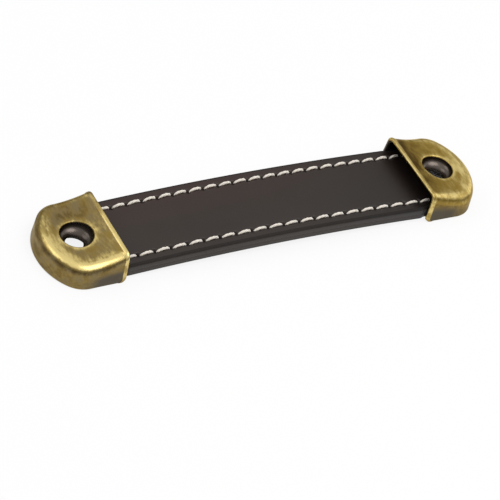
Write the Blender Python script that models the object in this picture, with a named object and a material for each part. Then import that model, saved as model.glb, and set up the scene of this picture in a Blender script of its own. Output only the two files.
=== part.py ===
"""Strap pull for a drawer or cabinet door: a stitched two-ply strap of faux leather round a steel core
strip, held at each end in a hollow cast cap with a countersunk screw hole.

Sizes are in metres. +X runs along the strap, +Z up from the face that the pull is screwed to, and the
origin lies on that face, midway between the screw holes.
"""

import math

import bmesh
import bpy

# Screw holes
HOLE_SPACING = 0.096
HOLE_DIAMETER = 0.0076
NECK_DIAMETER = 0.0042

# End cap, seen from above
CAP_WIDTH = 0.0228
MOUTH_WIDTH = 0.0226
NOSE_LENGTH = 0.0088
NOSE_RADIUS = 0.0145
NOSE_CORNER_RADIUS = 0.006
MOUTH_LENGTH = 0.0079
MOUTH_LEAN = 0.0003

# End cap, seen from the side
CAP_HEIGHT = 0.00575
MOUTH_HEIGHT = 0.0079
FLARE_START = 0.002
CAP_WALL = 0.0008
SIDE_DRAFT = math.radians(3.5)
TOP_FILLET = 0.0021
MOUTH_FILLET = 0.0017
MOUTH_EDGE_FILLET = 0.0006
FOOT_RADIUS = 0.0012

# Dished seat for the screw head
HOLE_LIP = 0.0004
DISH_RIM_HEIGHT = 0.00515
DISH_DEPTH = 0.00155
DISH_WALL = 0.0007

# Strap
STRAP_WIDTH = 0.0207
TOP_COVER_THICKNESS = 0.0016
BACK_COVER_THICKNESS = 0.0016
SEAM_GAP = 0.0002
STRAP_ARCH = 0.00145
STRAP_LIFT = 0.0001
EDGE_RADIUS = 0.0006
SEAM_BEVEL = 0.00025
END_GAP = 0.0003
PINCH_LENGTH = 0.0012
PINCH_START = 0.001
MOUTH_CLEARANCE = 0.0003

# Core strip
STRIP_WIDTH = 0.012
STRIP_THICKNESS = 0.0008
STRIP_HOLE_DIAMETER = 0.0064
STRIP_CLEARANCE = 0.0003

# Stitching
THREAD_DIAMETER = 0.00075
ROW_OFFSET = 0.0077
FRONT_PITCH = 0.00416
BACK_PITCH = 0.00393
FRONT_FIRST_HOLE = -0.036
BACK_FIRST_HOLE = -0.0355
NEEDLE_RISE = 0.00015
NEEDLE_DIP = 0.00035
BOBBIN_RISE = -0.0004
BOBBIN_DIP = 0.0006
STITCH_SLANT = 0.00025
THREAD_CLEARANCE = 0.00025
THREAD_END_INSET = 0.001

# Places worked out from the sizes above
HOLE_X = HOLE_SPACING / 2
HOLE_RADIUS = HOLE_DIAMETER / 2
NECK_RADIUS = NECK_DIAMETER / 2
MOUTH_FOOT = MOUTH_LENGTH + MOUTH_LEAN
FLARE = (MOUTH_HEIGHT - CAP_HEIGHT) / (FLARE_START + MOUTH_LENGTH) ** 2
DISH_WIDTH = HOLE_RADIUS - NECK_RADIUS
BOSS_RADIUS = HOLE_RADIUS + CAP_WALL
STRAP_HALF_LENGTH = HOLE_X - BOSS_RADIUS - END_GAP
SEAM_LOW = BACK_COVER_THICKNESS
SEAM_HIGH = SEAM_LOW + SEAM_GAP
STRAP_THICKNESS = SEAM_HIGH + TOP_COVER_THICKNESS
PINCH_X = HOLE_X - MOUTH_FOOT - PINCH_START
PINCHED_HALF_WIDTH = (
    MOUTH_WIDTH / 2
    - (STRAP_LIFT + STRAP_THICKNESS) * math.tan(SIDE_DRAFT)
    - CAP_WALL
    - MOUTH_CLEARANCE
)
POCKET_HALF_WIDTH = STRIP_WIDTH / 2 + STRIP_CLEARANCE
POCKET_DEPTH = (STRIP_THICKNESS + 2 * STRIP_CLEARANCE - SEAM_GAP) / 2
THREAD_RADIUS = THREAD_DIAMETER / 2
GROOVE_HALF_WIDTH = THREAD_RADIUS + THREAD_CLEARANCE + STITCH_SLANT / 2
NEEDLE_GROOVE_DEPTH = NEEDLE_DIP + THREAD_RADIUS + THREAD_CLEARANCE
BOBBIN_GROOVE_DEPTH = BOBBIN_DIP + THREAD_RADIUS + THREAD_CLEARANCE

# How finely the shapes are drawn
STRAP_STEPS = 10
PINCH_STEPS = 3
STITCH_STEPS = 4
FILLET_STEPS = 4
DISH_STEPS = 5
OVERSHOOT = 0.001
LEAST_FILLET = 0.0003
SLIVER = 0.00004
END_ROUND = 0.004
BODY_REACH = 0.005
HOLLOW_REACH = 0.007


def clear_scene():
    for obj in list(bpy.data.objects):
        bpy.data.objects.remove(obj, do_unlink=True)


def make_material(name, colour, roughness, metallic=0.0):
    material = bpy.data.materials.new(name)
    material.use_nodes = True
    shader = material.node_tree.nodes["Principled BSDF"]
    shader.inputs["Base Color"].default_value = (*colour, 1)
    shader.inputs["Roughness"].default_value = roughness
    shader.inputs["Metallic"].default_value = metallic
    return material


def add_object(name, data, material):
    obj = bpy.data.objects.new(name, data)
    data.materials.append(material)
    bpy.context.scene.collection.objects.link(obj)
    return obj


def make_cutter(name, mesh, parent, operation):
    cutter = bpy.data.objects.new(name, mesh)
    bpy.context.scene.collection.objects.link(cutter)
    cutter.parent = parent
    cutter.hide_render = True
    cutter.display_type = "WIRE"
    cut = parent.modifiers.new(name, "BOOLEAN")
    cut.operation = operation
    cut.solver = "EXACT"
    cut.object = cutter


def close_slivers(obj):
    """Merges the points that the cuts leave within a few hundredths of a millimetre of each other."""
    weld = obj.modifiers.new("close_slivers", "WELD")
    weld.merge_threshold = SLIVER


def finish_mesh(name, bm):
    """The mesh with its faces turned outwards and its rounded faces shaded smooth."""
    bmesh.ops.recalc_face_normals(bm, faces=bm.faces)
    mesh = bpy.data.meshes.new(name)
    bm.to_mesh(mesh)
    bm.free()
    mesh.shade_smooth()
    mesh.set_sharp_from_angle(angle=math.radians(35))
    return mesh


def skin(name, rings, ends):
    """A closed mesh over a list of closed rings. Ends are 'loop', where the last ring joins the first,
    'flat', where a face fills each end, or a point that the last ring closes to."""
    bm = bmesh.new()
    loops = [[bm.verts.new(point) for point in ring] for ring in rings]
    count = len(rings[0])
    pairs = list(zip(loops, loops[1:]))
    if ends == "loop":
        pairs.append((loops[-1], loops[0]))
    for low, high in pairs:
        for i in range(count):
            j = (i + 1) % count
            bm.faces.new((low[i], low[j], high[j], high[i]))
    if ends == "flat":
        bm.faces.new(loops[0][::-1])
        bm.faces.new(loops[-1])
    elif ends != "loop":
        tip = bm.verts.new(ends)
        bm.faces.new(loops[0][::-1])
        for i in range(count):
            bm.faces.new((loops[-1][i], loops[-1][(i + 1) % count], tip))
    return finish_mesh(name, bm)


def arc(centre, radius, start, end, steps):
    return [
        (
            centre[0] + radius * math.cos(start + (end - start) * i / steps),
            centre[1] + radius * math.sin(start + (end - start) * i / steps),
        )
        for i in range(steps + 1)
    ]


def spread(start, end, steps):
    """Evenly spaced points on a straight line, without its two ends."""
    return [
        (start[0] + (end[0] - start[0]) * i / steps, start[1] + (end[1] - start[1]) * i / steps)
        for i in range(1, steps)
    ]


def cap_corner(inset):
    """The centre and radius of the round that joins the cap's nose to its side."""
    nose, front = NOSE_LENGTH - inset, NOSE_RADIUS - inset
    radius = NOSE_CORNER_RADIUS - inset
    y = CAP_WIDTH / 2 - inset - radius
    return (nose - front + math.sqrt((front - radius) ** 2 - y**2), y), radius


def cap_half_width(x):
    """Half the cap's width at its foot, tapering from the nose's rounds to the mouth."""
    start = cap_corner(0)[0][0]
    share = (start - x) / (start + MOUTH_FOOT)
    return (CAP_WIDTH + (MOUTH_WIDTH - CAP_WIDTH) * share) / 2


def cap_outline(inset, reach):
    """The cap seen from above, from the middle of the nose round by +Y, with the outward normal at each
    point. The screw hole is at 0, 0, the nose points to +X, and the cap reaches past its mouth."""
    (corner_x, corner_y), corner = cap_corner(inset)
    front = NOSE_RADIUS - inset
    front_x = NOSE_LENGTH - NOSE_RADIUS
    turn = math.atan2(corner_y, corner_x - front_x)
    end = -MOUTH_FOOT - reach
    round_x = end + END_ROUND
    round_y = cap_half_width(round_x) - inset - END_ROUND

    upper = arc((front_x, 0), front, 0, turn, 4)
    upper += arc((corner_x, corner_y), corner, turn, math.pi / 2, 6)[1:]
    upper += spread((corner_x, corner_y + corner), (round_x, round_y + END_ROUND), 5)
    upper += arc((round_x, round_y), END_ROUND, math.pi / 2, math.pi, 4)
    upper += spread((end, round_y), (end, 0), 3)
    points = upper + [(end, 0)] + [(x, -y) for x, y in reversed(upper[1:])]

    outline = []
    for i, (x, y) in enumerate(points):
        before = points[i - 1]
        after = points[(i + 1) % len(points)]
        along_x, along_y = after[0] - before[0], after[1] - before[1]
        length = math.hypot(along_x, along_y)
        outline.append((x, y, along_y / length, -along_x / length))
    return outline


def top_height(x):
    """The cap's top is level over the nose and flares up to the mouth."""
    return CAP_HEIGHT + FLARE * max(0.0, FLARE_START - x) ** 2


def fillet_radius(x):
    """The round at the cap's top is full over the hole and the nose, and tightens towards the mouth."""
    share = min(1.0, max(0.0, -x / MOUTH_LENGTH))
    return TOP_FILLET + (MOUTH_FILLET - TOP_FILLET) * share


def lean_in(point, height, extra=0.0):
    """A point of the outline, moved in by the walls' draft at this height and by an extra inset."""
    x, y, normal_x, normal_y = point
    inset = height * math.tan(SIDE_DRAFT) + extra
    return (x - normal_x * inset, y - normal_y * inset)


def wall_rings(outline, lowest, ceiling, wall):
    """Rings from the foot up the wall and over the fillet at its top. The fillet inside a wall is tighter
    than the one outside it by the wall's thickness."""
    rings = [[(*lean_in(point, 0), lowest) for point in outline]]
    for step in range(FILLET_STEPS + 1):
        angle = math.pi / 2 * step / FILLET_STEPS
        ring = []
        for point in outline:
            fillet = max(fillet_radius(point[0]) - wall, LEAST_FILLET)
            height = ceiling(point[0]) - fillet
            x, y = lean_in(point, height, fillet * (1 - math.cos(angle)))
            ring.append((x, y, ceiling(x) - fillet + fillet * math.sin(angle)))
        rings.append(ring)
    return rings


def round_ring(angles, radius, height):
    """A ring about the hole. The height is a number, or a function of x."""
    ring = []
    for angle in angles:
        x = radius * math.cos(angle)
        z = height(x) if callable(height) else height
        ring.append((x, radius * math.sin(angle), z))
    return ring


def blend_rings(outer, inner, ceiling, steps):
    """Rings that carry the top from its outline in to a circle, along the flare."""
    rings = []
    for step in range(1, steps):
        share = step / steps
        ring = []
        for (ax, ay, _), (bx, by, _) in zip(outer, inner):
            x = ax + (bx - ax) * share
            ring.append((x, ay + (by - ay) * share, ceiling(x)))
        rings.append(ring)
    return rings


def cap_body_mesh():
    """The cap's outside with its screw hole, still solid inside and running on past its mouth."""
    outline = cap_outline(0, BODY_REACH)
    rings = wall_rings(outline, 0.0, top_height, 0.0)
    angles = [math.atan2(y, x) for x, y, _ in rings[-1]]
    lip_top = round_ring(angles, HOLE_RADIUS + HOLE_LIP, top_height)
    rings += blend_rings(rings[-1], lip_top, top_height, 3)
    rings.append(lip_top)
    for share in (1 / 3, 2 / 3, 1):
        radius = HOLE_RADIUS + HOLE_LIP * (1 - math.sin(math.pi / 2 * share))
        drop = HOLE_LIP * (1 - math.cos(math.pi / 2 * share))
        rings.append(round_ring(angles, radius, lambda x, drop=drop: top_height(x) - drop))
    for step in range(DISH_STEPS + 1):
        angle = math.pi / 2 * step / DISH_STEPS
        radius = NECK_RADIUS + DISH_WIDTH * math.cos(angle)
        rings.append(round_ring(angles, radius, DISH_RIM_HEIGHT - DISH_DEPTH * math.sin(angle)))
    rings.append(round_ring(angles, NECK_RADIUS, 0.0))
    return skin("cap_body", rings, "loop")


def cap_hollow_mesh():
    """The room inside the cap, open at the mouth and below, with the dish's boss left standing in it."""
    def ceiling(x):
        return top_height(x) - CAP_WALL

    outline = cap_outline(CAP_WALL, HOLLOW_REACH)
    rings = wall_rings(outline, -OVERSHOOT, ceiling, CAP_WALL)
    angles = [math.atan2(y, x) for x, y, _ in rings[-1]]
    root = round_ring(angles, BOSS_RADIUS, ceiling)
    rings += blend_rings(rings[-1], root, ceiling, 3)
    rings.append(root)
    deepest = DISH_DEPTH + DISH_WALL
    for step in range(DISH_STEPS):
        angle = math.radians(18 + 62 * step / (DISH_STEPS - 1))
        radius = NECK_RADIUS + (DISH_WIDTH + CAP_WALL) * math.cos(angle)
        rings.append(round_ring(angles, radius, DISH_RIM_HEIGHT - deepest * math.sin(angle)))
    return skin("cap_hollow", rings, (0.0, 0.0, DISH_RIM_HEIGHT - deepest))


def mouth_section(back, inset, low):
    """The cap's arch on the leaning plane this far back from its mouth, drawn in by an inset."""
    mid_x = -MOUTH_LENGTH + back
    top = top_height(mid_x) - inset
    radius = fillet_radius(mid_x) - min(inset, 0.0)
    shoulder = top - radius
    foot_half = cap_half_width(mid_x) - inset
    top_half = foot_half - shoulder * math.tan(SIDE_DRAFT)
    side = [(foot_half - low * math.tan(SIDE_DRAFT), low)]
    side += arc((top_half - radius, shoulder), radius, 0, math.pi / 2, FILLET_STEPS)
    section = side + [(-y, z) for y, z in reversed(side)]
    lean = MOUTH_LEAN / MOUTH_HEIGHT
    return [(mid_x - lean * (MOUTH_HEIGHT - z), y, z) for y, z in section]


def cap_trim_mesh():
    """What the cap is kept within: its mouth's plane with a rounded edge, and its foot turned up in a
    quarter round at the mouth."""
    edge, foot = MOUTH_EDGE_FILLET, FOOT_RADIUS
    rings = []
    for degrees in (0, 22.5, 45, 67.5, 80):
        angle = math.radians(degrees)
        back = foot * (1 - math.cos(angle))
        if back < edge:
            inset = edge - math.sqrt(edge**2 - (edge - back) ** 2)
        else:
            inset = -OVERSHOOT
        rings.append(mouth_section(back, inset, foot * (1 - math.sin(angle))))
    past_foot = foot * (1 - math.cos(angle)) + OVERSHOOT / 10
    rings.append(mouth_section(past_foot, -OVERSHOOT, -OVERSHOOT))
    rings.append(mouth_section(MOUTH_LENGTH + NOSE_LENGTH + 2 * OVERSHOOT, -OVERSHOOT, -OVERSHOOT))
    return skin("cap_trim", rings, "flat")


def make_end_cap(name, x, heading, material):
    cap = add_object(name, cap_body_mesh(), material)
    cap.location.x = x
    cap.rotation_euler.z = heading
    make_cutter(name + "_trim", cap_trim_mesh(), cap, "INTERSECT")
    make_cutter(name + "_hollow", cap_hollow_mesh(), cap, "DIFFERENCE")
    close_slivers(cap)


def strap_height(x):
    """The strap's underside: a shallow arch that ends inside the caps, and level past its ends."""
    share = min(1.0, abs(x) / STRAP_HALF_LENGTH)
    return STRAP_LIFT + STRAP_ARCH * (1 - share**2)


def strap_half_width(x):
    """The strap is squeezed a little narrower where it enters the caps."""
    share = min(1.0, max(0.0, (PINCH_X + PINCH_LENGTH - abs(x)) / PINCH_LENGTH))
    return PINCHED_HALF_WIDTH + (STRAP_WIDTH / 2 - PINCHED_HALF_WIDTH) * share * share * (3 - 2 * share)


def strap_stations():
    """Even steps along the free strap, with closer ones where it is squeezed into the caps."""
    half = [PINCH_X * (i + 1) / STRAP_STEPS for i in range(STRAP_STEPS)]
    half += [PINCH_X + PINCH_LENGTH * i / PINCH_STEPS for i in range(1, PINCH_STEPS + 1)]
    half.append(STRAP_HALF_LENGTH)
    return [-x for x in reversed(half)] + [0.0] + half


def cover_section(half, thickness, groove_depth):
    """Half of a cover's section: how far out, and how far from the seam, from the pocket round the edge
    and in to the stitching groove."""
    section = [
        (POCKET_HALF_WIDTH, POCKET_DEPTH),
        (POCKET_HALF_WIDTH, 0),
        (half - SEAM_BEVEL, 0),
        (half, SEAM_BEVEL),
    ]
    section += arc((half - EDGE_RADIUS, thickness - EDGE_RADIUS), EDGE_RADIUS, 0, math.pi / 2, 3)
    outer, inner = ROW_OFFSET + GROOVE_HALF_WIDTH, ROW_OFFSET - GROOVE_HALF_WIDTH
    section += [(outer, thickness), (outer, thickness - groove_depth)]
    section += [(inner, thickness - groove_depth), (inner, thickness)]
    return section


def make_cover(name, thickness, groove_depth, seam, outward, material):
    """A cover of the strap. Outward is 1 for the top one and -1 for the back one."""
    rings = []
    for x in strap_stations():
        half = cover_section(strap_half_width(x), thickness, groove_depth)
        section = half + [(-y, depth) for y, depth in reversed(half)]
        rings.append([(x, y, strap_height(x) + seam + outward * depth) for y, depth in section])
    add_object(name, skin(name, rings, "flat"), material)


def make_core_strip(material):
    """A flat strip with round ends, each with a clearance hole below the cap's screw hole."""
    radius = STRIP_WIDTH / 2
    turned = [HOLE_X + radius * math.sin(math.radians(a)) for a in (0, 20, 40, 60, 80)]
    stations = [-x for x in reversed(turned)] + strap_stations() + turned
    middle = (SEAM_LOW + SEAM_HIGH) / 2
    low, high = middle - STRIP_THICKNESS / 2, middle + STRIP_THICKNESS / 2
    rings = []
    for x in stations:
        past = max(0.0, abs(x) - HOLE_X)
        half = math.sqrt(radius**2 - past**2)
        z = strap_height(x)
        rings.append([(x, -half, z + low), (x, half, z + low), (x, half, z + high), (x, -half, z + high)])
    strip = add_object("core_strip", skin("core_strip", rings, "flat"), material)
    for side, x in (("left", -HOLE_X), ("right", HOLE_X)):
        angles = [math.tau * i / 32 for i in range(32)]
        bottom = [(x + px, py, -OVERSHOOT) for px, py, _ in round_ring(angles, STRIP_HOLE_DIAMETER / 2, 0)]
        top = [(px, py, CAP_HEIGHT) for px, py, _ in bottom]
        make_cutter("strip_hole_" + side, skin("strip_hole", [bottom, top], "flat"), strip, "DIFFERENCE")


def make_thread(name, side, first_hole, pitch, face, outward, rise, dip, material):
    """One row's thread: it rises in each stitch and sinks into its groove at each needle hole, and each
    stitch lies a little aslant. Face is the height of the leather's face above the strap's underside,
    and outward is 1 on the strap's top and -1 under it."""
    last = STRAP_HALF_LENGTH - THREAD_END_INSET
    steps = int(2 * last / pitch * STITCH_STEPS)
    curve = bpy.data.curves.new(name, "CURVE")
    curve.dimensions = "3D"
    curve.bevel_depth = THREAD_RADIUS
    curve.bevel_resolution = 1
    curve.use_fill_caps = True
    spline = curve.splines.new("POLY")
    spline.points.add(steps)
    for i, point in enumerate(spline.points):
        x = -last + 2 * last * i / steps
        phase = ((x - first_hole) / pitch) % 1
        lift = (rise + dip) * math.sin(math.pi * phase) ** 0.8 - dip
        slant = -STITCH_SLANT / 2 * math.cos(math.pi * phase) * math.sin(math.pi * phase) ** 0.5
        z = strap_height(x) + face + outward * lift
        point.co = (x, side * ROW_OFFSET + slant, z, 1)
    add_object(name, curve, material)


def main():
    clear_scene()
    brass = make_material("antique_brass", (0.30, 0.22, 0.09), 0.38, metallic=1.0)
    leather = make_material("dark_brown_faux_leather", (0.06, 0.045, 0.04), 0.55)
    steel = make_material("blackened_steel", (0.05, 0.05, 0.052), 0.45, metallic=1.0)
    thread = make_material("off_white_thread", (0.78, 0.73, 0.65), 0.7)

    make_end_cap("end_cap_left", -HOLE_X, math.pi, brass)
    make_end_cap("end_cap_right", HOLE_X, 0.0, brass)
    make_cover("strap_top_cover", TOP_COVER_THICKNESS, NEEDLE_GROOVE_DEPTH, SEAM_HIGH, 1, leather)
    make_cover("strap_back_cover", BACK_COVER_THICKNESS, BOBBIN_GROOVE_DEPTH, SEAM_LOW, -1, leather)
    make_core_strip(steel)
    rows = (("front", -1, FRONT_FIRST_HOLE, FRONT_PITCH), ("back", 1, BACK_FIRST_HOLE, BACK_PITCH))
    threads = (
        ("needle", STRAP_THICKNESS, 1, NEEDLE_RISE, NEEDLE_DIP),
        ("bobbin", 0.0, -1, BOBBIN_RISE, BOBBIN_DIP),
    )
    for row, side, first_hole, pitch in rows:
        for kind, face, outward, rise, dip in threads:
            name = f"{row}_{kind}_thread"
            make_thread(name, side, first_hole, pitch, face, outward, rise, dip, thread)


main()
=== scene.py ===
"""The strap pull as it looks: cast caps with a rubbed antique brass finish, and a stitched faux leather strap
on a pale bench top under a soft light tent. Sizes are in metres unless a name says millimetres."""

import math

import bmesh
import bpy
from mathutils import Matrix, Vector


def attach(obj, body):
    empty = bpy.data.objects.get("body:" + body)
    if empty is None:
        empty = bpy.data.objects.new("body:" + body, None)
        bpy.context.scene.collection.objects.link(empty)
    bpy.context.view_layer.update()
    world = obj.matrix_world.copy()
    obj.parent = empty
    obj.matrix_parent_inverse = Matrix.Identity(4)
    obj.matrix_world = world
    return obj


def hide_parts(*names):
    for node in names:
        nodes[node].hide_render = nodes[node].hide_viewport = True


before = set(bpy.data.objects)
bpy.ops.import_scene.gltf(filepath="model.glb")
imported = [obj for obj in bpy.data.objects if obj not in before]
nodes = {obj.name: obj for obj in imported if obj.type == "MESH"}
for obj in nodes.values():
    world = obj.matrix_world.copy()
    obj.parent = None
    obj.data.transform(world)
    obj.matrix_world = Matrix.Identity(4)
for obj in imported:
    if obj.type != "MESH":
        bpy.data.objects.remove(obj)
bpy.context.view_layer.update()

MM = 0.001

# Caps, about the screw hole, with the nose towards +X
HOLE_X = 48 * MM
HOLE_RADIUS = 3.8 * MM
NECK_RADIUS = 2.1 * MM
CAP_WIDTH = 22.8 * MM
MOUTH_WIDTH = 22.6 * MM
NOSE_LENGTH = 8.8 * MM
NOSE_RADIUS = 14.5 * MM
NOSE_CORNER_RADIUS = 6 * MM
MOUTH_LENGTH = 7.9 * MM
MOUTH_LEAN = 0.3 * MM
CAP_HEIGHT = 5.75 * MM
MOUTH_HEIGHT = 7.9 * MM
FLARE_START = 2 * MM
CAP_WALL = 0.8 * MM
SIDE_DRAFT = math.tan(math.radians(3.5))
TOP_FILLET = 2.1 * MM
MOUTH_FILLET = 1.7 * MM
LEAST_FILLET = 0.3 * MM
FOOT_RADIUS = 1.2 * MM
FOOT_EDGE = 0.2 * MM
INNER_FOOT_EDGE = 0.12 * MM
LEAST_CLEARANCE = 0.02 * MM
HOLE_LIP = 0.4 * MM
DISH_RIM_HEIGHT = 5.15 * MM
DISH_DEPTH = 1.55 * MM
DISH_WALL = 0.7 * MM
# From the dish's rim to its neck, radius and depth in millimetres: a steep wall, a shoulder, then a funnel
DISH_PROFILE = (
    (3.79, 0.05),
    (3.73, 0.32),
    (3.62, 0.58),
    (3.48, 0.79),
    (3.3, 0.95),
    (3.1, 1.08),
    (2.89, 1.2),
    (2.68, 1.36),
    (2.48, 1.58),
    (2.28, 1.87),
    (2.14, 2.12),
)
BEAD_LENGTH = 1.15 * MM
# The bead from outside to inside: how far in from the mouth's edge and how proud of the wall, both in
# millimetres, then how rubbed and how black
BEAD_PROFILE = (
    (1.08, 0.06, 0.6, 0.0),
    (0.95, 0.11, 0.8, 0.0),
    (0.75, 0.14, 0.85, 0.0),
    (0.52, 0.13, 0.85, 0.0),
    (0.30, 0.07, 0.9, 0.0),
    (0.12, -0.07, 0.9, 0.0),
    (0.02, -0.26, 0.8, 0.0),
    (0.0, -0.45, 0.65, 0.0),
    (0.05, -0.64, 0.5, 0.1),
    (0.20, -0.80, 0.3, 0.4),
    (0.45, -0.88, 0.2, 0.8),
    (0.80, -0.86, 0.2, 0.95),
)
FLARE = (MOUTH_HEIGHT - CAP_HEIGHT) / (FLARE_START + MOUTH_LENGTH) ** 2
MOUTH_FOOT = MOUTH_LENGTH + MOUTH_LEAN
BOSS_RADIUS = HOLE_RADIUS + CAP_WALL
# The heights at which a column's place along the cap is read, for its wall and for its fillet
MID_WALL = 4 * MM
MID_FILLET = 7 * MM

# How many steps the caps' rounds and skins are drawn in, and how closely the top's rings crowd to its edge
NOSE_STEPS = 16
CORNER_STEPS = 16
SIDE_STEPS = 20
FOOT_STEPS = 3
WALL_STEPS = 12
LINTEL_STEPS = 40
TOP_RINGS = 15
TOP_CROWDING = 1.3
LIP_STEPS = 6
BOSS_STEPS = 8

# How rubbed the caps are, from 0, as they left the blackening bath, to 1, bright
FOOT_RUB = 0.35
WALL_RUB = 0.3
TOP_RUB = 0.4
DISH_RUB = 0.2
# The fillet, from the wall to the top, with a painted dark line low on it: painted shade for a dark
# reflection
FILLET_RUB_AND_SHADE = (0.28, 0.22, 0.16, 0.16, 0.32, 0.6, 0.82, 0.93, 0.92, 0.83, 0.72)
HALO_WIDTH = 0.7 * MM
STRIP_BEHIND_BEAD = 2.4 * MM
# Each cap's own wear and painted light: how much darker its far side is painted and the near one lighter, as
# painted shade and light, how much any place above the walls is rubbed at least and at most, and what is
# added along the strip behind the bead
WEAR = {
    "left": {"painted_side_shade": 0.4, "least": 0.0, "most": 1.15, "behind_bead": 0.15},
    "right": {"painted_side_shade": 0.15, "least": 0.48, "most": 0.86, "behind_bead": -0.34},
}
INSIDE_BLACK = 0.97

# Strap
STRAP_WIDTH = 20.7 * MM
TOP_COVER = 1.6 * MM
BACK_COVER = 1.6 * MM
SEAM_GAP = 0.2 * MM
STRAP_ARCH = 1.45 * MM
STRAP_LIFT = 0.1 * MM
EDGE_ROUND = 0.6 * MM
SEAM_ROUND = 0.02 * MM
SEAM_CLOSE = 0.1 * MM
INK_AND_SHADE_WIDTH = 0.3 * MM
END_GAP = 0.3 * MM
PINCH_START = 1.0 * MM
PINCH_LENGTH = 1.2 * MM
MOUTH_CLEARANCE = 0.3 * MM
COVER_STEPS = 480
STRAP_THICKNESS = BACK_COVER + SEAM_GAP + TOP_COVER
STRAP_HALF_LENGTH = HOLE_X - BOSS_RADIUS - END_GAP
PINCH_X = HOLE_X - MOUTH_FOOT - PINCH_START
PINCHED_HALF_WIDTH = (
    MOUTH_WIDTH / 2 - (STRAP_LIFT + STRAP_THICKNESS) * SIDE_DRAFT - CAP_WALL - MOUTH_CLEARANCE
)

# Stitching: each row's side, its first needle hole and its stitch, a little longer in the near row
ROW_OFFSET = 7.69 * MM
ROWS = {"front": (-1, -35.96 * MM, 4.157 * MM), "back": (1, -35.48 * MM, 3.929 * MM)}
THREAD_RADIUS = 0.34 * MM
STITCH_RISE = 0.14 * MM
STITCH_SINK = -0.4 * MM
STITCH_DIVE = 0.9 * MM
STITCH_SLANT = 0.25 * MM
STITCH_GAP = 0.56 * MM
LEAST_STITCH = 1.5 * MM
SEWN_END = 0.5 * MM
PLY_RADIUS = THREAD_RADIUS * 0.68
LAY_LENGTH = 3.2 * MM
STITCH_STEPS = 30
PLY_SIDES = 8

# What the sewing does to the leather: the bed under each row, the pucker at each needle hole, and the hole
TOP_BED = 0.1 * MM
BACK_BED = 0.5 * MM
BED_WIDTH = 0.75 * MM
PUCKER_DEPTH = 0.12 * MM
PUCKER_WIDTH = 0.8 * MM
PUCKER_LENGTH = 0.7 * MM
SEWN_REACH = 3 * MM
PLAIN_END = 0.3 * MM
NEEDLE_HOLE_RADIUS = 0.42 * MM
NEEDLE_HOLE_DEPTH = 0.55 * MM
NEEDLE_PULL = 0.15 * MM

# Bench: the dark ovals under the caps and the painted pool of light below the left screw hole, in millimetres
DARK_MIDDLE = 48.5
DARK_OVAL = (8.3, 11.4)
PAINTED_LIGHT_SPOT = (-46.8, 1.4, 0.0)
PAINTED_LIGHT_RADIUS = 3.7
PAINTED_LIGHT_FADE_RADIUS = 4.2
BENCH_GLOW = 0.86
BENCH_HALF_SIZE = 1.5
BENCH_DROP = 0.02 * MM


# Finishes. A map range takes its value as 0, the range that this is in as 1 and 2, and the range that it goes
# to as 3 and 4, each 0 to 1 if not given. A colour mix takes as 0 the share of colour 7 over colour 6.

SMOOTH = {"interpolation_type": "SMOOTHSTEP"}
COLOURS = {"data_type": "RGBA"}


def linear(code):
    """The linear colour of an sRGB hex code."""
    parts = [int(code[i : i + 2], 16) / 255 for i in (1, 3, 5)]
    return (*[p / 12.92 if p <= 0.04045 else ((p + 0.055) / 1.055) ** 2.4 for p in parts], 1)


def add_node(tree, kind, inputs=None, **settings):
    """Adds a node, sets it up, fills or links its inputs, and gives back its outputs."""
    node = tree.nodes.new("ShaderNode" + kind)
    for name, value in settings.items():
        setattr(node, name, value)
    for name, value in (inputs or {}).items():
        if isinstance(value, bpy.types.NodeSocket):
            tree.links.new(value, node.inputs[name])
        else:
            node.inputs[name].default_value = value
    return node.outputs


def start_finish(name):
    """A new material with its tree, its shader, and where on the object each point is, in millimetres."""
    material = bpy.data.materials.new(name)
    material.use_nodes = True
    tree = material.node_tree
    where = add_node(tree, "TexCoord")["Object"]
    spot = add_node(tree, "VectorMath", {0: where, "Scale": 1 / MM}, operation="SCALE")[0]
    return material, tree, tree.nodes["Principled BSDF"], spot


def finish_surface(tree, shader, colour, height, strength, depth):
    """Gives the shader its colour, and a relief of this height pattern, strength and depth."""
    tree.links.new(colour, shader.inputs["Base Color"])
    bump = add_node(tree, "Bump", {"Height": height, "Strength": strength, "Distance": depth})[0]
    tree.links.new(bump, shader.inputs["Normal"])


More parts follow.
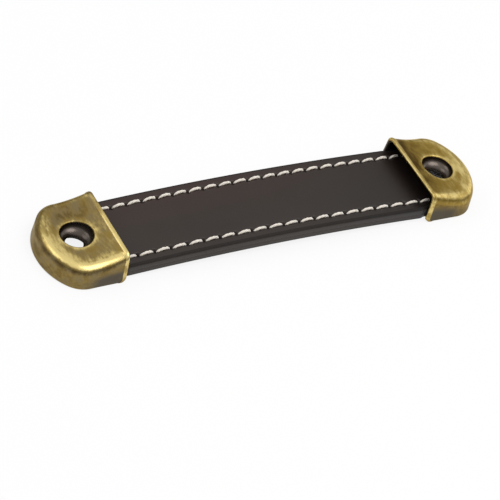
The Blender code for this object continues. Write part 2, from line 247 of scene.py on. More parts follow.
def antique_brass():
    """Zinc die casting, brass plated, blackened, then rubbed back on a soft wheel and lacquered. The high
    edges come up pale gold, the flats stay mottled between ochre and grey, and the recesses stay dark."""
    material, tree, shader, spot = start_finish("antique_brass_plate")
    rub = add_node(tree, "Attribute", attribute_name="rub")["Fac"]
    black = add_node(tree, "Attribute", attribute_name="black")["Fac"]

    # Blotches left by the blackening bath, 2 mm wide and drawn out to 3 mm by the wheel
    drawn = add_node(tree, "Mapping", {"Vector": spot, "Scale": (0.5, 0.3, 0.5)})[0]
    clouds = add_node(tree, "TexNoise", {"Vector": drawn, "Scale": 1.0, "Detail": 5})[0]
    # Marks of the wheel, run across the cap, 0.45 mm wide, and the casting's grain, 0.3 mm across. Both are
    # drawn coarser than the real ones, to show
    across = add_node(tree, "Mapping", {"Vector": spot, "Scale": (2.2, 0.7, 2.2)})[0]
    streaks = add_node(tree, "TexNoise", {"Vector": across, "Scale": 1.0, "Detail": 4})[0]
    grain = add_node(tree, "TexNoise", {"Vector": spot, "Scale": 3.5, "Detail": 4})[0]

    # The level of wear: how rubbed the place is, give or take the wheel's marks and the blotches
    worn = add_node(tree, "Math", {0: streaks, 1: 0.6, 2: clouds}, operation="MULTIPLY_ADD")[0]
    worn = add_node(tree, "MapRange", {0: worn, 1: 0.6, 2: 1.02, 3: -0.14, 4: 0.14}, **SMOOTH)[0]
    reached = add_node(tree, "MapRange", {0: rub, 2: 0.2}, **SMOOTH)[0]
    level = add_node(tree, "Math", {0: worn, 1: reached, 2: rub}, operation="MULTIPLY_ADD")[0]
    ochre = add_node(tree, "MapRange", {0: level, 2: 0.5}, **SMOOTH)[0]
    gold = add_node(tree, "MapRange", {0: level, 1: 0.45}, **SMOOTH)[0]
    colour = add_node(tree, "Mix", {0: ochre, 6: linear("#4C360A"), 7: linear("#9D8239")}, **COLOURS)[2]
    colour = add_node(tree, "Mix", {0: gold, 6: colour, 7: linear("#E4CE88")}, **COLOURS)[2]

    # The bath's grey stays on the lower wall, where the wheel hardly reached, and it is painted darker
    # towards the foot as painted shade. It reaches higher towards the mouth, but not onto the bead
    axes = add_node(tree, "SeparateXYZ", {0: spot})
    from_middle = add_node(tree, "Math", {0: axes["X"]}, operation="ABSOLUTE")[0]
    height = {0: from_middle, 1: 0.14, 2: axes["Z"]}
    height = add_node(tree, "Math", height, operation="MULTIPLY_ADD")[0]
    low_wall = add_node(tree, "MapRange", {0: height, 1: 8.3, 2: 11.6, 3: 1.0, 4: 0.0}, **SMOOTH)[0]
    near_mouth = add_node(tree, "MapRange", {0: from_middle, 1: 46.0, 2: 52.0, 3: 1.0, 4: 0.45}, **SMOOTH)[0]
    off_bead = add_node(tree, "MapRange", {0: rub, 1: 0.5, 2: 0.62, 3: 1.0, 4: 0.0}, **SMOOTH)[0]
    for part in (near_mouth, off_bead):
        low_wall = add_node(tree, "Math", {0: low_wall, 1: part}, operation="MULTIPLY")[0]
    # It stays in the blotches too, most of all on the left cap, and goes where the wear is deep
    blotches = add_node(tree, "MapRange", {0: clouds, 1: 0.3, 2: 0.68, 3: 0.3}, **SMOOTH)[0]
    leftward = add_node(tree, "MapRange", {0: axes["X"], 1: -40.0, 2: 40.0, 3: 0.75, 4: 0.12}, **SMOOTH)[0]
    blotches = add_node(tree, "Math", {0: blotches, 1: leftward}, operation="MULTIPLY")[0]
    grey = add_node(tree, "Math", {0: blotches, 1: low_wall}, operation="MAXIMUM")[0]
    unworn = add_node(tree, "MapRange", {0: level, 1: 0.5, 2: 0.85, 3: 1.0, 4: 0.0}, **SMOOTH)[0]
    outside = add_node(tree, "MapRange", {0: rub, 1: 0.05, 2: 0.2}, **SMOOTH)[0]
    for part in (unworn, outside):
        grey = add_node(tree, "Math", {0: grey, 1: part}, operation="MULTIPLY")[0]
    # The grey darkens towards the foot: painted shade
    bath_grey_and_shade = add_node(tree, "Mix", {0: low_wall, 6: linear("#7C7056"), 7: linear("#544E45")}, **COLOURS)[2]
    colour = add_node(tree, "Mix", {0: grey, 6: colour, 7: bath_grey_and_shade}, **COLOURS)[2]
    # Half black is the satin black of the dish, full black is the untouched inside. Between them lies the
    # dish's side towards the mouth, painted darker as painted shade
    satin = add_node(tree, "MapRange", {0: black, 2: 0.5}, **SMOOTH)[0]
    inside = add_node(tree, "MapRange", {0: black, 1: 0.5}, **SMOOTH)[0]
    colour = add_node(tree, "Mix", {0: satin, 6: colour, 7: linear("#5F5650")}, **COLOURS)[2]
    colour = add_node(tree, "Mix", {0: inside, 6: colour, 7: linear("#0B0807")}, **COLOURS)[2]

    relief = add_node(tree, "Math", {0: streaks, 1: 0.3, 2: grain}, operation="MULTIPLY_ADD")[0]
    relief = add_node(tree, "Math", {0: clouds, 1: 8.0, 2: relief}, operation="MULTIPLY_ADD")[0]
    finish_surface(tree, shader, colour, relief, 0.16, 0.04 * MM)
    # The rubbed places are smoother, the grain roughens all, and the satin black of the dish shines
    dull = add_node(tree, "MapRange", {0: level, 3: 0.46, 4: 0.34}, **SMOOTH)[0]
    dull = add_node(tree, "Math", {0: grain, 1: 0.14, 2: dull}, operation="MULTIPLY_ADD")[0]
    dull = add_node(tree, "Math", {0: black, 1: -0.3, 2: dull}, operation="MULTIPLY_ADD")[0]
    dull = add_node(tree, "Math", {0: dull, 1: 0.07}, operation="SUBTRACT")[0]
    tree.links.new(dull, shader.inputs["Roughness"])
    metal = add_node(tree, "Math", {0: inside, 1: -0.8, 2: 1.0}, operation="MULTIPLY_ADD")[0]
    tree.links.new(metal, shader.inputs["Metallic"])
    # The plate stays warm where it is seen at a low angle, and the lacquer over it is thin
    shader.inputs["Specular Tint"].default_value = linear("#F3E7CB")
    shader.inputs["Coat Weight"].default_value = 0.12
    shader.inputs["Coat Roughness"].default_value = 0.2
    return material


def faux_leather(name, face, light):
    """Polyurethane-coated cloth, embossed with a fine smooth grain. It takes a low satin sheen and is a shade
    deeper towards the far side. It is painted darker towards the right end, as painted shade from the right
    cap.
    The cut edges are inked darker, partly as painted shade on their rounds, and the needle holes are painted
    near black, as painted shade."""
    material, tree, shader, spot = start_finish(name)
    # The colour varies in clouds 12 mm across
    clouds = add_node(tree, "TexNoise", {"Vector": spot, "Scale": 0.08, "Detail": 2})[0]
    # Embossed pebbles 0.45 mm across, with creases of 0.2 mm between them
    pebbles = add_node(tree, "TexVoronoi", {"Vector": spot, "Scale": 2.2}, feature="SMOOTH_F1")["Distance"]
    creases = add_node(tree, "TexNoise", {"Vector": spot, "Scale": 5.0, "Detail": 3})[0]
    pit = add_node(tree, "Attribute", attribute_name="pit")["Fac"]
    axes = add_node(tree, "SeparateXYZ", {0: spot})
    lighter = add_node(tree, "MapRange", {0: clouds, 1: 0.3, 2: 0.7}, **SMOOTH)[0]
    far_side = add_node(tree, "MapRange", {0: axes["Y"], 1: -4.0, 2: 9.0, 4: 0.6}, **SMOOTH)[0]
    painted_shade_right_end = add_node(tree, "MapRange", {0: axes["X"], 1: -10.0, 2: 45.0, 4: 0.8}, **SMOOTH)[0]
    colour = linear(face)
    # Painted shade: darker towards the right cap, and near black in the needle holes and along the inked edge
    # rounds
    for share, shade in ((lighter, light), (far_side, "#2E1B17"), (painted_shade_right_end, "#140E0C"), (pit, "#050404")):
        colour = add_node(tree, "Mix", {0: share, 6: colour, 7: linear(shade)}, **COLOURS)[2]
    height = add_node(tree, "Math", {0: pebbles, 1: 0.8, 2: creases}, operation="MULTIPLY_ADD")[0]
    finish_surface(tree, shader, colour, height, 0.25, 0.05 * MM)
    dull = add_node(tree, "MapRange", {0: pit, 3: 0.42, 4: 0.8}, **SMOOTH)[0]
    tree.links.new(dull, shader.inputs["Roughness"])
    shader.inputs["IOR"].default_value = 1.46
    shader.inputs["Specular Tint"].default_value = linear("#FFF7F1")
    return material


def polyester_thread():
    """Bonded three-ply polyester sewing thread, off-white. The plies show as slanting shadows, and the
    bonding gives a dull waxy gloss."""
    material, tree, shader, spot = start_finish("bonded_polyester_thread")
    # Fibres in tufts 0.17 mm across, drawn coarser than the real ones, to show
    fibres = add_node(tree, "TexNoise", {"Vector": spot, "Scale": 6.0, "Detail": 3})[0]
    crevice = add_node(tree, "Attribute", attribute_name="crevice")["Fac"]
    lighter = add_node(tree, "MapRange", {0: fibres, 1: 0.3, 2: 0.7}, **SMOOTH)[0]
    colour = add_node(tree, "Mix", {0: lighter, 6: linear("#E4DACC"), 7: linear("#F2EBE0")}, **COLOURS)[2]
    colour = add_node(tree, "Mix", {0: crevice, 6: colour, 7: linear("#C6B8A6")}, **COLOURS)[2]
    finish_surface(tree, shader, colour, fibres, 0.3, 0.03 * MM)
    shader.inputs["Roughness"].default_value = 0.5
    shader.inputs["IOR"].default_value = 1.5
    shader.inputs["Sheen Weight"].default_value = 0.3
    return material


def blackened_steel():
    """Cold-rolled steel strip, chemically blackened: dark, faintly streaked along its length."""
    material, tree, shader, spot = start_finish("blackened_strip_steel")
    # The rolls' streaks, 5 mm long and 0.25 mm wide
    along = add_node(tree, "Mapping", {"Vector": spot, "Scale": (0.2, 4.0, 4.0)})[0]
    streaks = add_node(tree, "TexNoise", {"Vector": along, "Scale": 1.0, "Detail": 4})[0]
    colour = add_node(tree, "Mix", {0: streaks, 6: linear("#2A2A2C"), 7: linear("#55534F")}, **COLOURS)[2]
    tree.links.new(colour, shader.inputs["Base Color"])
    dull = add_node(tree, "MapRange", {0: streaks, 1: 0.2, 2: 0.8, 3: 0.35, 4: 0.55}, **SMOOTH)[0]
    tree.links.new(dull, shader.inputs["Roughness"])
    shader.inputs["Metallic"].default_value = 1.0
    return material


def bench_top():
    """A pale bench top that shows white and keeps the pull's shadow."""
    material, tree, shader, spot = start_finish("pale_bench_top")
    shader.inputs["Base Color"].default_value = linear("#F2F2F2")
    shader.inputs["Roughness"].default_value = 0.9
    rays = add_node(tree, "LightPath")
    seen = rays["Is Camera Ray"]
    for kind in ("Is Glossy Ray", "Is Transmission Ray"):
        seen = add_node(tree, "Math", {0: seen, 1: rays[kind]}, operation="MAXIMUM")[0]
    # No light gets in under the caps, so the bench's white glow is taken away there and its own shade shows
    length, width = DARK_OVAL
    oval = add_node(tree, "Mapping", {"Vector": spot, "Scale": (1 / length, 1 / width, 0.0)})[0]
    open_bench = []
    for middle in (-DARK_MIDDLE, DARK_MIDDLE):
        from_cap = {0: oval, 1: (middle / length, 0, 0)}
        from_cap = add_node(tree, "VectorMath", from_cap, operation="DISTANCE")["Value"]
        open_bench.append(add_node(tree, "MapRange", {0: from_cap, 1: 0.95, 2: 1.02}, **SMOOTH)[0])
    # Below the left hole a spot shows white to the camera only: a painted pool of light
    from_hole = add_node(tree, "VectorMath", {0: spot, 1: PAINTED_LIGHT_SPOT}, operation="DISTANCE")["Value"]
    painted_light = {0: from_hole, 1: PAINTED_LIGHT_RADIUS, 2: PAINTED_LIGHT_FADE_RADIUS, 3: 1.0, 4: 0.0}
    painted_light = add_node(tree, "MapRange", painted_light, **SMOOTH)[0]
    painted_light = add_node(tree, "Math", {0: painted_light, 1: rays["Is Camera Ray"]}, operation="MULTIPLY")[0]
    left = add_node(tree, "Math", {0: open_bench[0], 1: painted_light}, operation="MAXIMUM")[0]
    share = seen
    for part in (left, open_bench[1], BENCH_GLOW):
        share = add_node(tree, "Math", {0: share, 1: part}, operation="MULTIPLY")[0]
    white = add_node(tree, "Emission", {"Color": (1, 1, 1, 1), "Strength": 1.0})[0]
    mixed = add_node(tree, "MixShader", {0: share, 1: shader.outputs[0], 2: white})[0]
    tree.links.new(mixed, tree.nodes["Material Output"].inputs["Surface"])
    return material


# Caps


def top_height(x):
    """The cap's top is level over the nose and flares up to the mouth."""
    return CAP_HEIGHT + FLARE * max(0.0, FLARE_START - x) ** 2


def fillet_radius(x):
    """The top's fillet gets smaller towards the mouth."""
    share = min(1.0, max(0.0, -x / MOUTH_LENGTH))
    return TOP_FILLET + (MOUTH_FILLET - TOP_FILLET) * share


def corner_centre():
    """The centre of the round that joins the nose to the side, and how far round the nose it starts."""
    reach = NOSE_RADIUS - NOSE_CORNER_RADIUS
    y = CAP_WIDTH / 2 - NOSE_CORNER_RADIUS
    x = NOSE_LENGTH - NOSE_RADIUS + math.sqrt(reach**2 - y**2)
    return x, y, math.atan2(y, x - NOSE_LENGTH + NOSE_RADIUS)


def cap_columns():
    """The cap's foot seen from above, from the mouth on the +Y side round the nose to the mouth again: each
    column's place, its outward direction, and how far it follows the mouth's edge."""
    x, y, turn = corner_centre()
    half = []
    for i in range(NOSE_STEPS + 1):
        a = turn * i / NOSE_STEPS
        half.append((NOSE_LENGTH - NOSE_RADIUS * (1 - math.cos(a)), NOSE_RADIUS * math.sin(a), a, 0))
    for i in range(1, CORNER_STEPS + 1):
        a = turn + (math.pi / 2 - turn) * i / CORNER_STEPS
        half.append((x + NOSE_CORNER_RADIUS * math.cos(a), y + NOSE_CORNER_RADIUS * math.sin(a), a, 0))
    for i in range(1, SIDE_STEPS + 1):
        half.append((x, CAP_WIDTH / 2, math.pi / 2, i / SIDE_STEPS))
    columns = [(px, py, math.cos(a), math.sin(a), share) for px, py, a, share in reversed(half)]
    return columns + [(px, -py, math.cos(a), -math.sin(a), share) for px, py, a, share in half[1:]]


def mouth_x(z, setback):
    """Where the mouth's edge is at this height: it leans, and it turns up in a quarter round at the foot."""
    x = -MOUTH_LENGTH - MOUTH_LEAN * (1 - z / MOUTH_HEIGHT) + setback
    if z < FOOT_RADIUS:
        x += FOOT_RADIUS - math.sqrt(max(0.0, FOOT_RADIUS**2 - (FOOT_RADIUS - z) ** 2))
    return x


def column_x(column, z, setback):
    """Where a column is along the cap at this height."""
    return column[0] if not column[4] else column[0] + (mouth_x(z, setback) - column[0]) * column[4]


def column_point(column, z, inset, setback):
    """A point of a column at this height, moved in by the draft and by an inset."""
    _, y, out_x, out_y, share = column
    x = column_x(column, z, setback)
    moved = inset + z * SIDE_DRAFT
    if share:
        start = corner_centre()[0]
        narrowing = (CAP_WIDTH - MOUTH_WIDTH) / 2 * (start - x) / (start + MOUTH_FOOT)
        y = math.copysign(abs(y) - narrowing, y)
    return (x - out_x * moved, y - out_y * moved, z)


def shell_rows(columns, wall, setback):
    """Rows of points from the foot up the side and over the fillet, on the cap's outside (no wall) or on
    its inside, each row with how rubbed it is."""
    edge = INNER_FOOT_EDGE if wall else FOOT_EDGE
    rows = []
    for i in range(FOOT_STEPS + 1):
        angle = math.pi / 2 * i / FOOT_STEPS
        inset = wall + (-1 if wall else 1) * edge * (1 - math.sin(angle))
        row = [column_point(c, edge * (1 - math.cos(angle)), inset, setback) for c in columns]
        rows.append((row, FOOT_RUB))
    for i in range(1, WALL_STEPS):
        share = i / WALL_STEPS
        row = []
        for c in columns:
            x = column_x(c, MID_WALL, setback)
            shoulder = top_height(x) - wall - max(fillet_radius(x) - wall, LEAST_FILLET)
            row.append(column_point(c, edge + (shoulder - edge) * share, wall, setback))
        rows.append((row, WALL_RUB))
    for i, rub in enumerate(FILLET_RUB_AND_SHADE):
        angle = math.pi / 2 * i / (len(FILLET_RUB_AND_SHADE) - 1)
        row = []
        for c in columns:
            x = column_x(c, MID_FILLET, setback)
            fillet = max(fillet_radius(x) - wall, LEAST_FILLET)
            inset = wall + fillet * (1 - math.cos(angle))
            px, py, _ = column_point(c, top_height(x) - wall - fillet, inset, setback)
            row.append((px, py, top_height(px) - wall - fillet + fillet * math.sin(angle)))
        rows.append((row, rub))
    return rows


def lintel(near, far, wall):
    """Points over the top of the mouth, between the ends of its two sides."""
    points = []
    for i in range(1, LINTEL_STEPS):
        x = near[0] + (far[0] - near[0]) * i / LINTEL_STEPS
        points.append((x, near[1] + (far[1] - near[1]) * i / LINTEL_STEPS, top_height(x) - wall))
    return points


def around_hole(angles, radius, height):
    """A ring about the hole; the height is a number or a function of x."""
    ring = []
    for angle in angles:
        x = radius * math.cos(angle)
        ring.append((x, radius * math.sin(angle), height(x) if callable(height) else height))
    return ring


def fill_grid(faces, rows, closed):
    """Faces between rows of vertex numbers."""
    for low, high in zip(rows, rows[1:]):
        count = len(low)
        for i in range(count if closed else count - 1):
            j = (i + 1) % count
            faces.append((low[i], low[j], high[j], high[i]))


def fill_tube(faces, rings):
    """Faces between rings, and over the first ring and the last."""
    fill_grid(faces, rings, closed=True)
    faces += [tuple(reversed(rings[0])), tuple(rings[-1])]


class Cast:
    """A mesh that is gathered ring by ring, with how rubbed and how black each point is."""

    def __init__(self):
        self.points = []
        self.rub = []
        self.black = []
        self.faces = []

    def ring(self, points, rub, black=0.0):
        start = len(self.points)
        self.points += points
        self.rub += rub if isinstance(rub, list) else [rub] * len(points)
        self.black += black if isinstance(black, list) else [black] * len(points)
        return list(range(start, start + len(points)))


def top_rub(start, x, y, hole, at_fillet):
    """How rubbed the top is between its edge and the screw hole: bright round the hole, and bright behind the
    fillet, over the nose most of all."""
    halo = math.exp(-(((math.hypot(x, y) - hole) / HALO_WIDTH) ** 2))
    nose = min(1.0, max(0.0, start[0] / NOSE_LENGTH))
    reach = (1.5 + 0.3 * nose) * MM
    off = math.hypot(x - start[0], y - start[1])
    shoulder = math.exp(-((off / reach) ** 3)) if at_fillet else 0.0
    return TOP_RUB + 0.32 * halo + (0.14 + 0.44 * nose) * shoulder


def cap_shell(cast, wall, setback, black):
    """One skin of the cap, outside or inside. Gives back its foot, its mouth's edge, its innermost ring and
    that ring's angles."""
    rows = [cast.ring(row, rub, black) for row, rub in shell_rows(cap_columns(), wall, setback)]
    fill_grid(cast.faces, rows, closed=False)

    near, far = cast.points[rows[-1][-1]], cast.points[rows[-1][0]]
    over_mouth = cast.ring(lintel(near, far, wall), WALL_RUB, black)
    edge = rows[-1] + over_mouth

    angles = [math.atan2(cast.points[i][1], cast.points[i][0]) for i in edge]
    hole = BOSS_RADIUS if wall else HOLE_RADIUS + HOLE_LIP
    rings = [edge]
    for step in range(1, TOP_RINGS + 1):
        share = 1 - (1 - step / TOP_RINGS) ** TOP_CROWDING
        ring, rub = [], []
        for i, angle in zip(edge, angles):
            start = cast.points[i]
            x = start[0] + (hole * math.cos(angle) - start[0]) * share
            y = start[1] + (hole * math.sin(angle) - start[1]) * share
            ring.append((x, y, top_height(x) - wall))
            rub.append(top_rub(start, x, y, hole, i in rows[-1]))
        rings.append(cast.ring(ring, rub, black))
    fill_grid(cast.faces, rings, closed=True)

    mouth = [row[-1] for row in rows] + over_mouth + [row[0] for row in reversed(rows)]
    return rows[0], mouth, rings[-1], angles


def mouth_line(wall, setback):
    """The line of the mouth, set back from its edge: up the near side, over the top and down the far side."""
    columns = cap_columns()
    rows = [row for row, _ in shell_rows([columns[0], columns[-1]], wall, setback)]
    far, near = rows[-1]
    return [row[1] for row in rows] + lintel(near, far, wall) + [row[0] for row in reversed(rows)]


def bead_rings(cast, far):
    """The rounded bead along the mouth's edge, a little proud of the cap, from the outside to the inside. Its
    upright on the far side, 1 for +Y or -1 for -Y, is painted dark, and all of the bead is painted darker
    towards its foot, both as painted shade."""
    rings = []
    for setback, proud, rub, black in BEAD_PROFILE:
        outer, inner = mouth_line(0.0, setback * MM), mouth_line(CAP_WALL, setback * MM)
        ring = []
        for a, b in zip(outer, inner):
            out = (Vector(a) - Vector(b)).normalized()
            x, y, z = Vector(a) + out * proud * MM
            ring.append((x, y, max(z, LEAST_CLEARANCE)))
        # No painted shade is put above 7 mm, and all of the upright is below 5.5 mm
        far_upright_shade = [min(1.0, max(0.0, (7 - z / MM) / 1.5)) if far * y > 0 else 0.0 for _, y, z in ring]
        # Painted shade: darker towards the foot, and dark on the far upright
        rubs = [rub * min(1.0, 0.6 + 0.06 * z / MM) * (1 - m) for m, (_, _, z) in zip(far_upright_shade, ring)]
        rings.append(cast.ring(ring, rubs, [max(black, 0.75 * m) for m in far_upright_shade]))
    return rings


def dish_rings(cast, rim, angles):
    """The rolled lip, then the dish that the screw head sits in, then its neck."""
    rings = [rim]
    for i in range(1, LIP_STEPS + 1):
        angle = math.pi / 2 * i / LIP_STEPS
        radius = HOLE_RADIUS + HOLE_LIP * (1 - math.sin(angle))
        drop = HOLE_LIP * (1 - math.cos(angle))
        ring = around_hole(angles, radius, lambda x, drop=drop: top_height(x) - drop)
        rings.append(cast.ring(ring, 0.85 - 0.5 * i / LIP_STEPS, max(0.0, i / LIP_STEPS - 0.5)))
    # The dish is painted blacker on the side towards the mouth, as painted shade
    satin = [0.5 + 0.2 * max(0.0, -math.cos(angle)) for angle in angles]
    for radius, drop in DISH_PROFILE:
        ring = around_hole(angles, radius * MM, DISH_RIM_HEIGHT - drop * MM)
        rings.append(cast.ring(ring, DISH_RUB, satin))
    neck = around_hole(angles, NECK_RADIUS, DISH_RIM_HEIGHT - (DISH_DEPTH + DISH_WALL))
    rings.append(cast.ring(neck, DISH_RUB, 0.5))
    return rings


def boss_rings(cast, angles):
    """The underside of the dish, from its neck up to where it joins the inside of the cap's top."""
    rings = []
    deepest = DISH_DEPTH + DISH_WALL
    # It follows an ellipse, from 84 degrees at the neck to 18 at the top
    for i in range(BOSS_STEPS, -1, -1):
        angle = math.radians(18 + 66 * i / BOSS_STEPS)
        radius = NECK_RADIUS + (HOLE_RADIUS - NECK_RADIUS + CAP_WALL) * math.cos(angle)
        ring = around_hole(angles, radius, DISH_RIM_HEIGHT - deepest * math.sin(angle))
        rings.append(cast.ring(ring, WALL_RUB, INSIDE_BLACK))
    return rings


def wheel_rub(rub, black, point, far, wear):
    """How rubbed a point is once this cap's own wear is added. The sides take a little less than the middle,
    and the walls and the bead's uprights are held lower still. The far side is painted darker and the near
    side lighter, as painted shade and light. Far is the side of the back row."""
    x, y, z = point
    across = far * y / (CAP_WIDTH / 2)
    limit = wear["most"] - 0.15 * across**2
    if z < top_height(x) - fillet_radius(x) - 0.1 * MM:
        limit = min(limit, 0.62 + 0.03 * z / MM)
    elif not black:
        rub = max(wear["least"], rub)
        off = (x + MOUTH_LENGTH - BEAD_LENGTH) / STRIP_BEHIND_BEAD
        rub += wear["behind_bead"] * (1 + 0.6 * across) * math.exp(-off * off) if off > 0 else 0.0
    # Painted shade on the far side, painted light on the near side
    return min(limit, rub * (1 - wear["painted_side_shade"] * across))


def cap_mesh(name, far, wear):
    """The whole cap, with its attributes. Far is the side of the back row, 1 for +Y or -1 for -Y."""
    cast = Cast()
    foot, mouth, rim, angles = cap_shell(cast, 0.0, BEAD_LENGTH, 0.0)
    dish = dish_rings(cast, rim, angles)
    inner_foot, inner_mouth, root, _ = cap_shell(cast, CAP_WALL, BEAD_LENGTH, INSIDE_BLACK)
    fill_grid(cast.faces, [*dish, *boss_rings(cast, angles), root], closed=True)

    # The foot's rim, then the bead along the mouth
    fill_grid(cast.faces, [foot, inner_foot], closed=False)
    fill_grid(cast.faces, [mouth, *bead_rings(cast, far), inner_mouth], closed=False)

    rub = [wheel_rub(r, b, p, far, wear) for r, b, p in zip(cast.rub, cast.black, cast.points)]
    return make_mesh(name, cast.points, cast.faces, rub=rub, black=cast.black)


def make_mesh(name, points, faces, **attributes):
    """A smooth mesh with its faces turned outwards, and with values for its points as attributes."""
    mesh = bpy.data.meshes.new(name)
    mesh.from_pydata(points, [], faces)
    for attribute, values in attributes.items():
        mesh.attributes.new(attribute, "FLOAT", "POINT").data.foreach_set("value", values)
    bm = bmesh.new()
    bm.from_mesh(mesh)
    bmesh.ops.recalc_face_normals(bm, faces=bm.faces)
    bm.to_mesh(mesh)
    bm.free()
    mesh.shade_smooth()
    return mesh


def place(name, mesh, material, slot, *replaced):
    """Puts a piece on the pull in place of the solids it stands for."""
    mesh.materials.append(material)
    piece = bpy.data.objects.new(name, mesh)
    bpy.context.scene.collection.objects.link(piece)
    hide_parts(*replaced)
    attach(piece, "root")


def set_cap(side, x, turned, material):
    """Makes a cap and sets its screw hole at x, with its nose towards the end of the pull."""
    mesh = cap_mesh("cast_cap_" + side, -1 if turned else 1, WEAR[side])
    for vertex in mesh.vertices:
        px, py, pz = vertex.co
        vertex.co = (x - px, -py, pz) if turned else (x + px, py, pz)
    place("cast_cap_" + side, mesh, material, "antique_brass", "end_cap_" + side)


# Strap


def strap_height(x):
    """The strap's underside: a shallow arch that ends inside the caps."""
    share = min(1.0, abs(x) / STRAP_HALF_LENGTH)
    return STRAP_LIFT + STRAP_ARCH * (1 - share**2)


def strap_half_width(x):
    """The strap is squeezed a little narrower where it enters the caps."""
    share = min(1.0, max(0.0, (PINCH_X + PINCH_LENGTH - abs(x)) / PINCH_LENGTH))
    return PINCHED_HALF_WIDTH + (STRAP_WIDTH / 2 - PINCHED_HALF_WIDTH) * share * share * (3 - 2 * share)


def needle_holes(row):
    """Where one row's needle holes are, from end to end of the strap. The last stitch at each end is cut
    short where the strap ends."""
    _, first, pitch = ROWS[row]
    end = STRAP_HALF_LENGTH - SEWN_END
    first -= math.floor((first + end) / pitch) * pitch
    holes = [-end] if first + end > LEAST_STITCH else []
    while first < end:
        holes.append(first)
        first += pitch
    return holes + [end] if end - holes[-1] > LEAST_STITCH else holes


def sewn_dip(x, y, bed):
    """How far the sewing pulls the leather in here, and how deep in a needle hole the point is."""
    side = "front" if y < 0 else "back"
    inward = ROW_OFFSET - abs(y)
    off = abs(inward)
    if off > SEWN_REACH or abs(x) > STRAP_HALF_LENGTH - PLAIN_END:
        return 0.0, 0.0
    _, first, pitch = ROWS[side]
    from_hole = abs((x - first + pitch / 2) % pitch - pitch / 2)
    valley = bed * math.exp(-((off / BED_WIDTH) ** 2))
    pucker = PUCKER_DEPTH * math.exp(-((off / PUCKER_WIDTH) ** 2) - (from_hole / PUCKER_LENGTH) ** 2)
    # The thread pulls each needle hole a little towards the middle of the strap, and a fifth longer that way
    pit = math.exp(-((((inward - NEEDLE_PULL) / 1.2) ** 2 + from_hole**2) / NEEDLE_HOLE_RADIUS**2) ** 1.8)
    return valley + pucker + NEEDLE_HOLE_DEPTH * pit, pit


def cover_edge(thickness):
    """The cover's rounded edge, from the seam to the start of its face: how far in, how far out, and how much
    of the dark edge inking and painted shade is on it."""
    points = []
    for i in range(5):
        angle = math.pi / 2 * i / 4
        depth = SEAM_ROUND * (1 - math.cos(angle)) - SEAM_CLOSE
        points.append((SEAM_ROUND * (1 - math.sin(angle)), depth, 0.0))
    points.append((0.0, (SEAM_ROUND + thickness - EDGE_ROUND) / 2, 0.0))
    points.append((0.0, thickness - EDGE_ROUND - INK_AND_SHADE_WIDTH, 0.0))
    for i in range(9):
        angle = math.pi / 2 * i / 8
        # The inking and painted shade start thin and are thickest where the round meets the face
        ink_and_shade = 0.75 * math.sin(0.35 + angle * 0.85)
        depth = thickness - EDGE_ROUND * (1 - math.sin(angle))
        points.append((EDGE_ROUND * (1 - math.cos(angle)), depth, ink_and_shade))
    return points


def face_places():
    """Places across the face as a share of its width: 0.8 mm apart over the middle, 0.13 mm along the
    stitching and 0.18 mm on the margin."""
    half_face = STRAP_WIDTH / 2 - EDGE_ROUND
    places = [i * 0.8 * MM for i in range(8)]
    places += [ROW_OFFSET - 1.4 * MM + i * 0.13 * MM for i in range(23)]
    places += [ROW_OFFSET + 1.5 * MM + i * 0.18 * MM for i in range(3)]
    shares = [p / half_face for p in places]
    return [-s for s in reversed(shares[1:])] + shares


def cover_mesh(name, thickness, seam, outward, bed):
    """A cover of the strap, with how inked and painted with shade each edge point is, or how deep in a needle
    hole, where painted shade darkens it. Outward is 1 for the top one and -1 for the back one."""
    edge = cover_edge(thickness)
    shares = face_places()
    points, pits, rings = [], [], []
    for k in range(COVER_STEPS + 1):
        x = -STRAP_HALF_LENGTH + 2 * STRAP_HALF_LENGTH * k / COVER_STEPS
        half = strap_half_width(x)
        ring = [(half - inset, depth, ink_and_shade) for inset, depth, ink_and_shade in edge]
        for share in reversed(shares):
            y = share * (half - EDGE_ROUND)
            dip, pit = sewn_dip(x, y, bed)
            ring.append((y, thickness - dip, pit))
        ring += [(-(half - inset), depth, ink_and_shade) for inset, depth, ink_and_shade in reversed(edge)]
        rings.append(list(range(len(points), len(points) + len(ring))))
        base = strap_height(x) + seam
        points += [(x, y, base + outward * depth) for y, depth, _ in ring]
        pits += [pit for _, _, pit in ring]
    faces = []
    fill_tube(faces, rings)
    return make_mesh(name, points, faces, pit=pits)


def stitch_path(start, end, side, face, outward, rise):
    """One stitch's middle line: slowly up out of one needle hole, a little aslant, and steeply down at the
    next."""
    path = []
    for i in range(STITCH_STEPS + 1):
        share = i / STITCH_STEPS
        swell = max(0.0, math.sin(math.pi * share)) ** (0.26 - 0.1 * share)
        lift = (rise + STITCH_DIVE) * swell - STITCH_DIVE
        along = start + STITCH_GAP + (end - start - 2 * STITCH_GAP) * share
        y = side * ROW_OFFSET + STITCH_SLANT * (share - 0.5)
        path.append((along, y, strap_height(along) + face + outward * lift))
    return path


def ply_ring(centre, climb, turn, swell):
    """A ring of one ply round the stitch's middle line, which climbs at this angle, and how deep in the
    crevice between the plies each of its points is."""
    x, y, z = centre
    lay = THREAD_RADIUS - PLY_RADIUS
    ring, crevices = [], []
    for k in range(PLY_SIDES):
        around = math.tau * k / PLY_SIDES
        across = (lay * math.cos(turn) + PLY_RADIUS * math.cos(around)) * swell
        lift = (lay * math.sin(turn) + PLY_RADIUS * math.sin(around)) * swell
        ring.append((x - math.sin(climb) * lift, y + across, z + math.cos(climb) * lift))
        out = math.hypot(across, lift) / THREAD_RADIUS
        crevices.append(min(1.0, max(0.0, (0.8 - out) * 2.5)))
    return ring, crevices


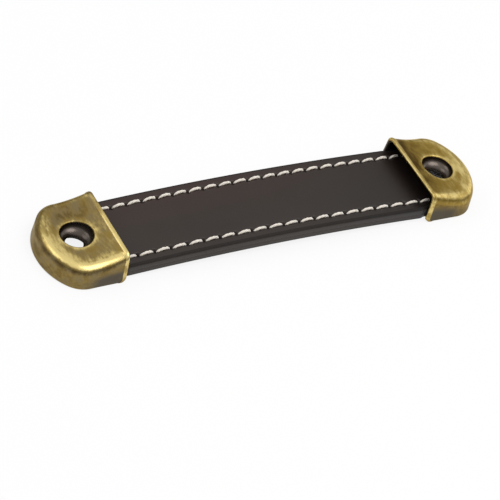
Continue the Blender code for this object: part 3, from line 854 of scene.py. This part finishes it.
def stitches_mesh(name, row, face, outward, rise):
    """A row of stitches, each laid up from three plies. Each starts at another turn of the plies, swells from
    its first needle hole, and varies a little in thickness."""
    side = ROWS[row][0]
    holes = needle_holes(row)
    points, crevices, faces = [], [], []
    for number, (start, end) in enumerate(zip(holes, holes[1:])):
        path = stitch_path(start, end, side, face, outward, rise)
        for ply in range(3):
            rings = []
            for i, centre in enumerate(path):
                before, after = path[max(0, i - 1)], path[min(STITCH_STEPS, i + 1)]
                climb = math.atan2(after[2] - before[2], after[0] - before[0])
                turn = math.tau * (ply / 3 + number * 0.37 - (centre[0] - start) / LAY_LENGTH)
                swell = 0.8 + 0.2 * min(1.0, 2.5 * i / STITCH_STEPS)
                swell *= 1 + 0.04 * math.sin(number * 2.1 + i * 0.2)
                ring, deep = ply_ring(centre, climb, turn, swell)
                rings.append(list(range(len(points), len(points) + PLY_SIDES)))
                points += ring
                crevices += deep
            fill_tube(faces, rings)
    return make_mesh(name, points, faces, crevice=crevices)


# Bench, light and camera


def set_bench(material):
    """The bench top that the pull lies on."""
    mesh = bpy.data.meshes.new("bench")
    size, z = BENCH_HALF_SIZE, -BENCH_DROP
    corners = [(-size, -size, z), (size, -size, z), (size, size, z), (-size, size, z)]
    mesh.from_pydata(corners, [], [(0, 1, 2, 3)])
    mesh.materials.append(material)
    bench = bpy.data.objects.new("bench", mesh)
    bpy.context.scene.collection.objects.link(bench)


def hang_lamp(name, direction, distance, width, height, watts):
    """A soft panel lamp that hangs in this direction from the pull and faces it."""
    lamp = bpy.data.lights.new(name, "AREA")
    lamp.shape = "RECTANGLE"
    lamp.size, lamp.size_y = width, height
    lamp.energy = watts
    panel = bpy.data.objects.new(name, lamp)
    panel.location = Vector(direction).normalized() * distance
    panel.rotation_euler = Vector(direction).to_track_quat("Z", "Y").to_euler()
    bpy.context.scene.collection.objects.link(panel)


def set_tent():
    """The light tent: bright overhead, dimmer towards the bench, and white where it shows behind the pull."""
    world = bpy.data.worlds.new("light_tent")
    bpy.context.scene.world = world
    world.use_nodes = True
    tree = world.node_tree
    direction = add_node(tree, "TexCoord")["Generated"]
    height = add_node(tree, "SeparateXYZ", {0: direction})["Z"]
    level = add_node(tree, "MapRange", {0: height, 1: 0.2, 2: 0.65, 3: 0.19, 4: 0.85}, **SMOOTH)[0]
    seen = add_node(tree, "LightPath")["Is Camera Ray"]
    shown = add_node(tree, "Mix", {0: seen, 2: level, 3: 1.0})[0]
    tree.links.new(shown, tree.nodes["Background"].inputs["Strength"])
    tree.nodes["Background"].inputs["Color"].default_value = (1, 1, 1, 1)


def set_camera():
    """The photo's camera, as worked out from the strap's stitches and edges, both holes and the mouths."""
    data = bpy.data.cameras.new("camera")
    data.lens = 193.24
    data.sensor_width = 36
    data.clip_start = 0.01
    camera = bpy.data.objects.new("camera", data)
    camera.location = (-0.30133, -0.35231, 0.40649)
    camera.rotation_euler = [math.radians(a) for a in (46.49, -13.812, -27.862)]
    bpy.context.scene.collection.objects.link(camera)
    bpy.context.scene.camera = camera


def main():
    """Makes the finishes, then the caps, the strap and its stitches, then the stage."""
    brass = antique_brass()
    top_leather = faux_leather("smooth_faux_leather_face", "#231B17", "#28201B")
    back_leather = faux_leather("smooth_faux_leather_back", "#221A16", "#271F1A")
    thread = polyester_thread()

    set_cap("left", -HOLE_X, True, brass)
    set_cap("right", HOLE_X, False, brass)
    top = cover_mesh("strap_face", TOP_COVER, BACK_COVER + SEAM_GAP, 1, TOP_BED)
    place("strap_face", top, top_leather, "dark_brown_faux_leather", "strap_top_cover")
    back = cover_mesh("strap_back", BACK_COVER, BACK_COVER, -1, BACK_BED)
    place("strap_back", back, back_leather, "dark_brown_faux_leather", "strap_back_cover")
    for row in ROWS:
        for kind, face, outward, rise in (
            ("needle", STRAP_THICKNESS, 1, STITCH_RISE),
            ("bobbin", 0.0, -1, STITCH_SINK),
        ):
            mesh = stitches_mesh(f"{row}_{kind}_stitches", row, face, outward, rise)
            place(mesh.name, mesh, thread, "off_white_thread", f"{row}_{kind}_thread")
    strip = nodes["core_strip"]
    strip.data.materials.clear()
    strip.data.materials.append(blackened_steel())

    set_bench(bench_top())
    hang_lamp("overhead_panel", (0.25, -0.3, 0.9), distance=0.7, width=0.45, height=0.45, watts=1.6)
    hang_lamp("left_panel", (-0.68, 0.36, 0.56), distance=0.8, width=0.5, height=0.5, watts=0.9)
    hang_lamp("right_panel", (0.93, 0.14, 0.28), distance=0.8, width=0.45, height=0.4, watts=0.7)
    set_tent()
    set_camera()
    bpy.context.scene.view_settings.view_transform = "Standard"


main()
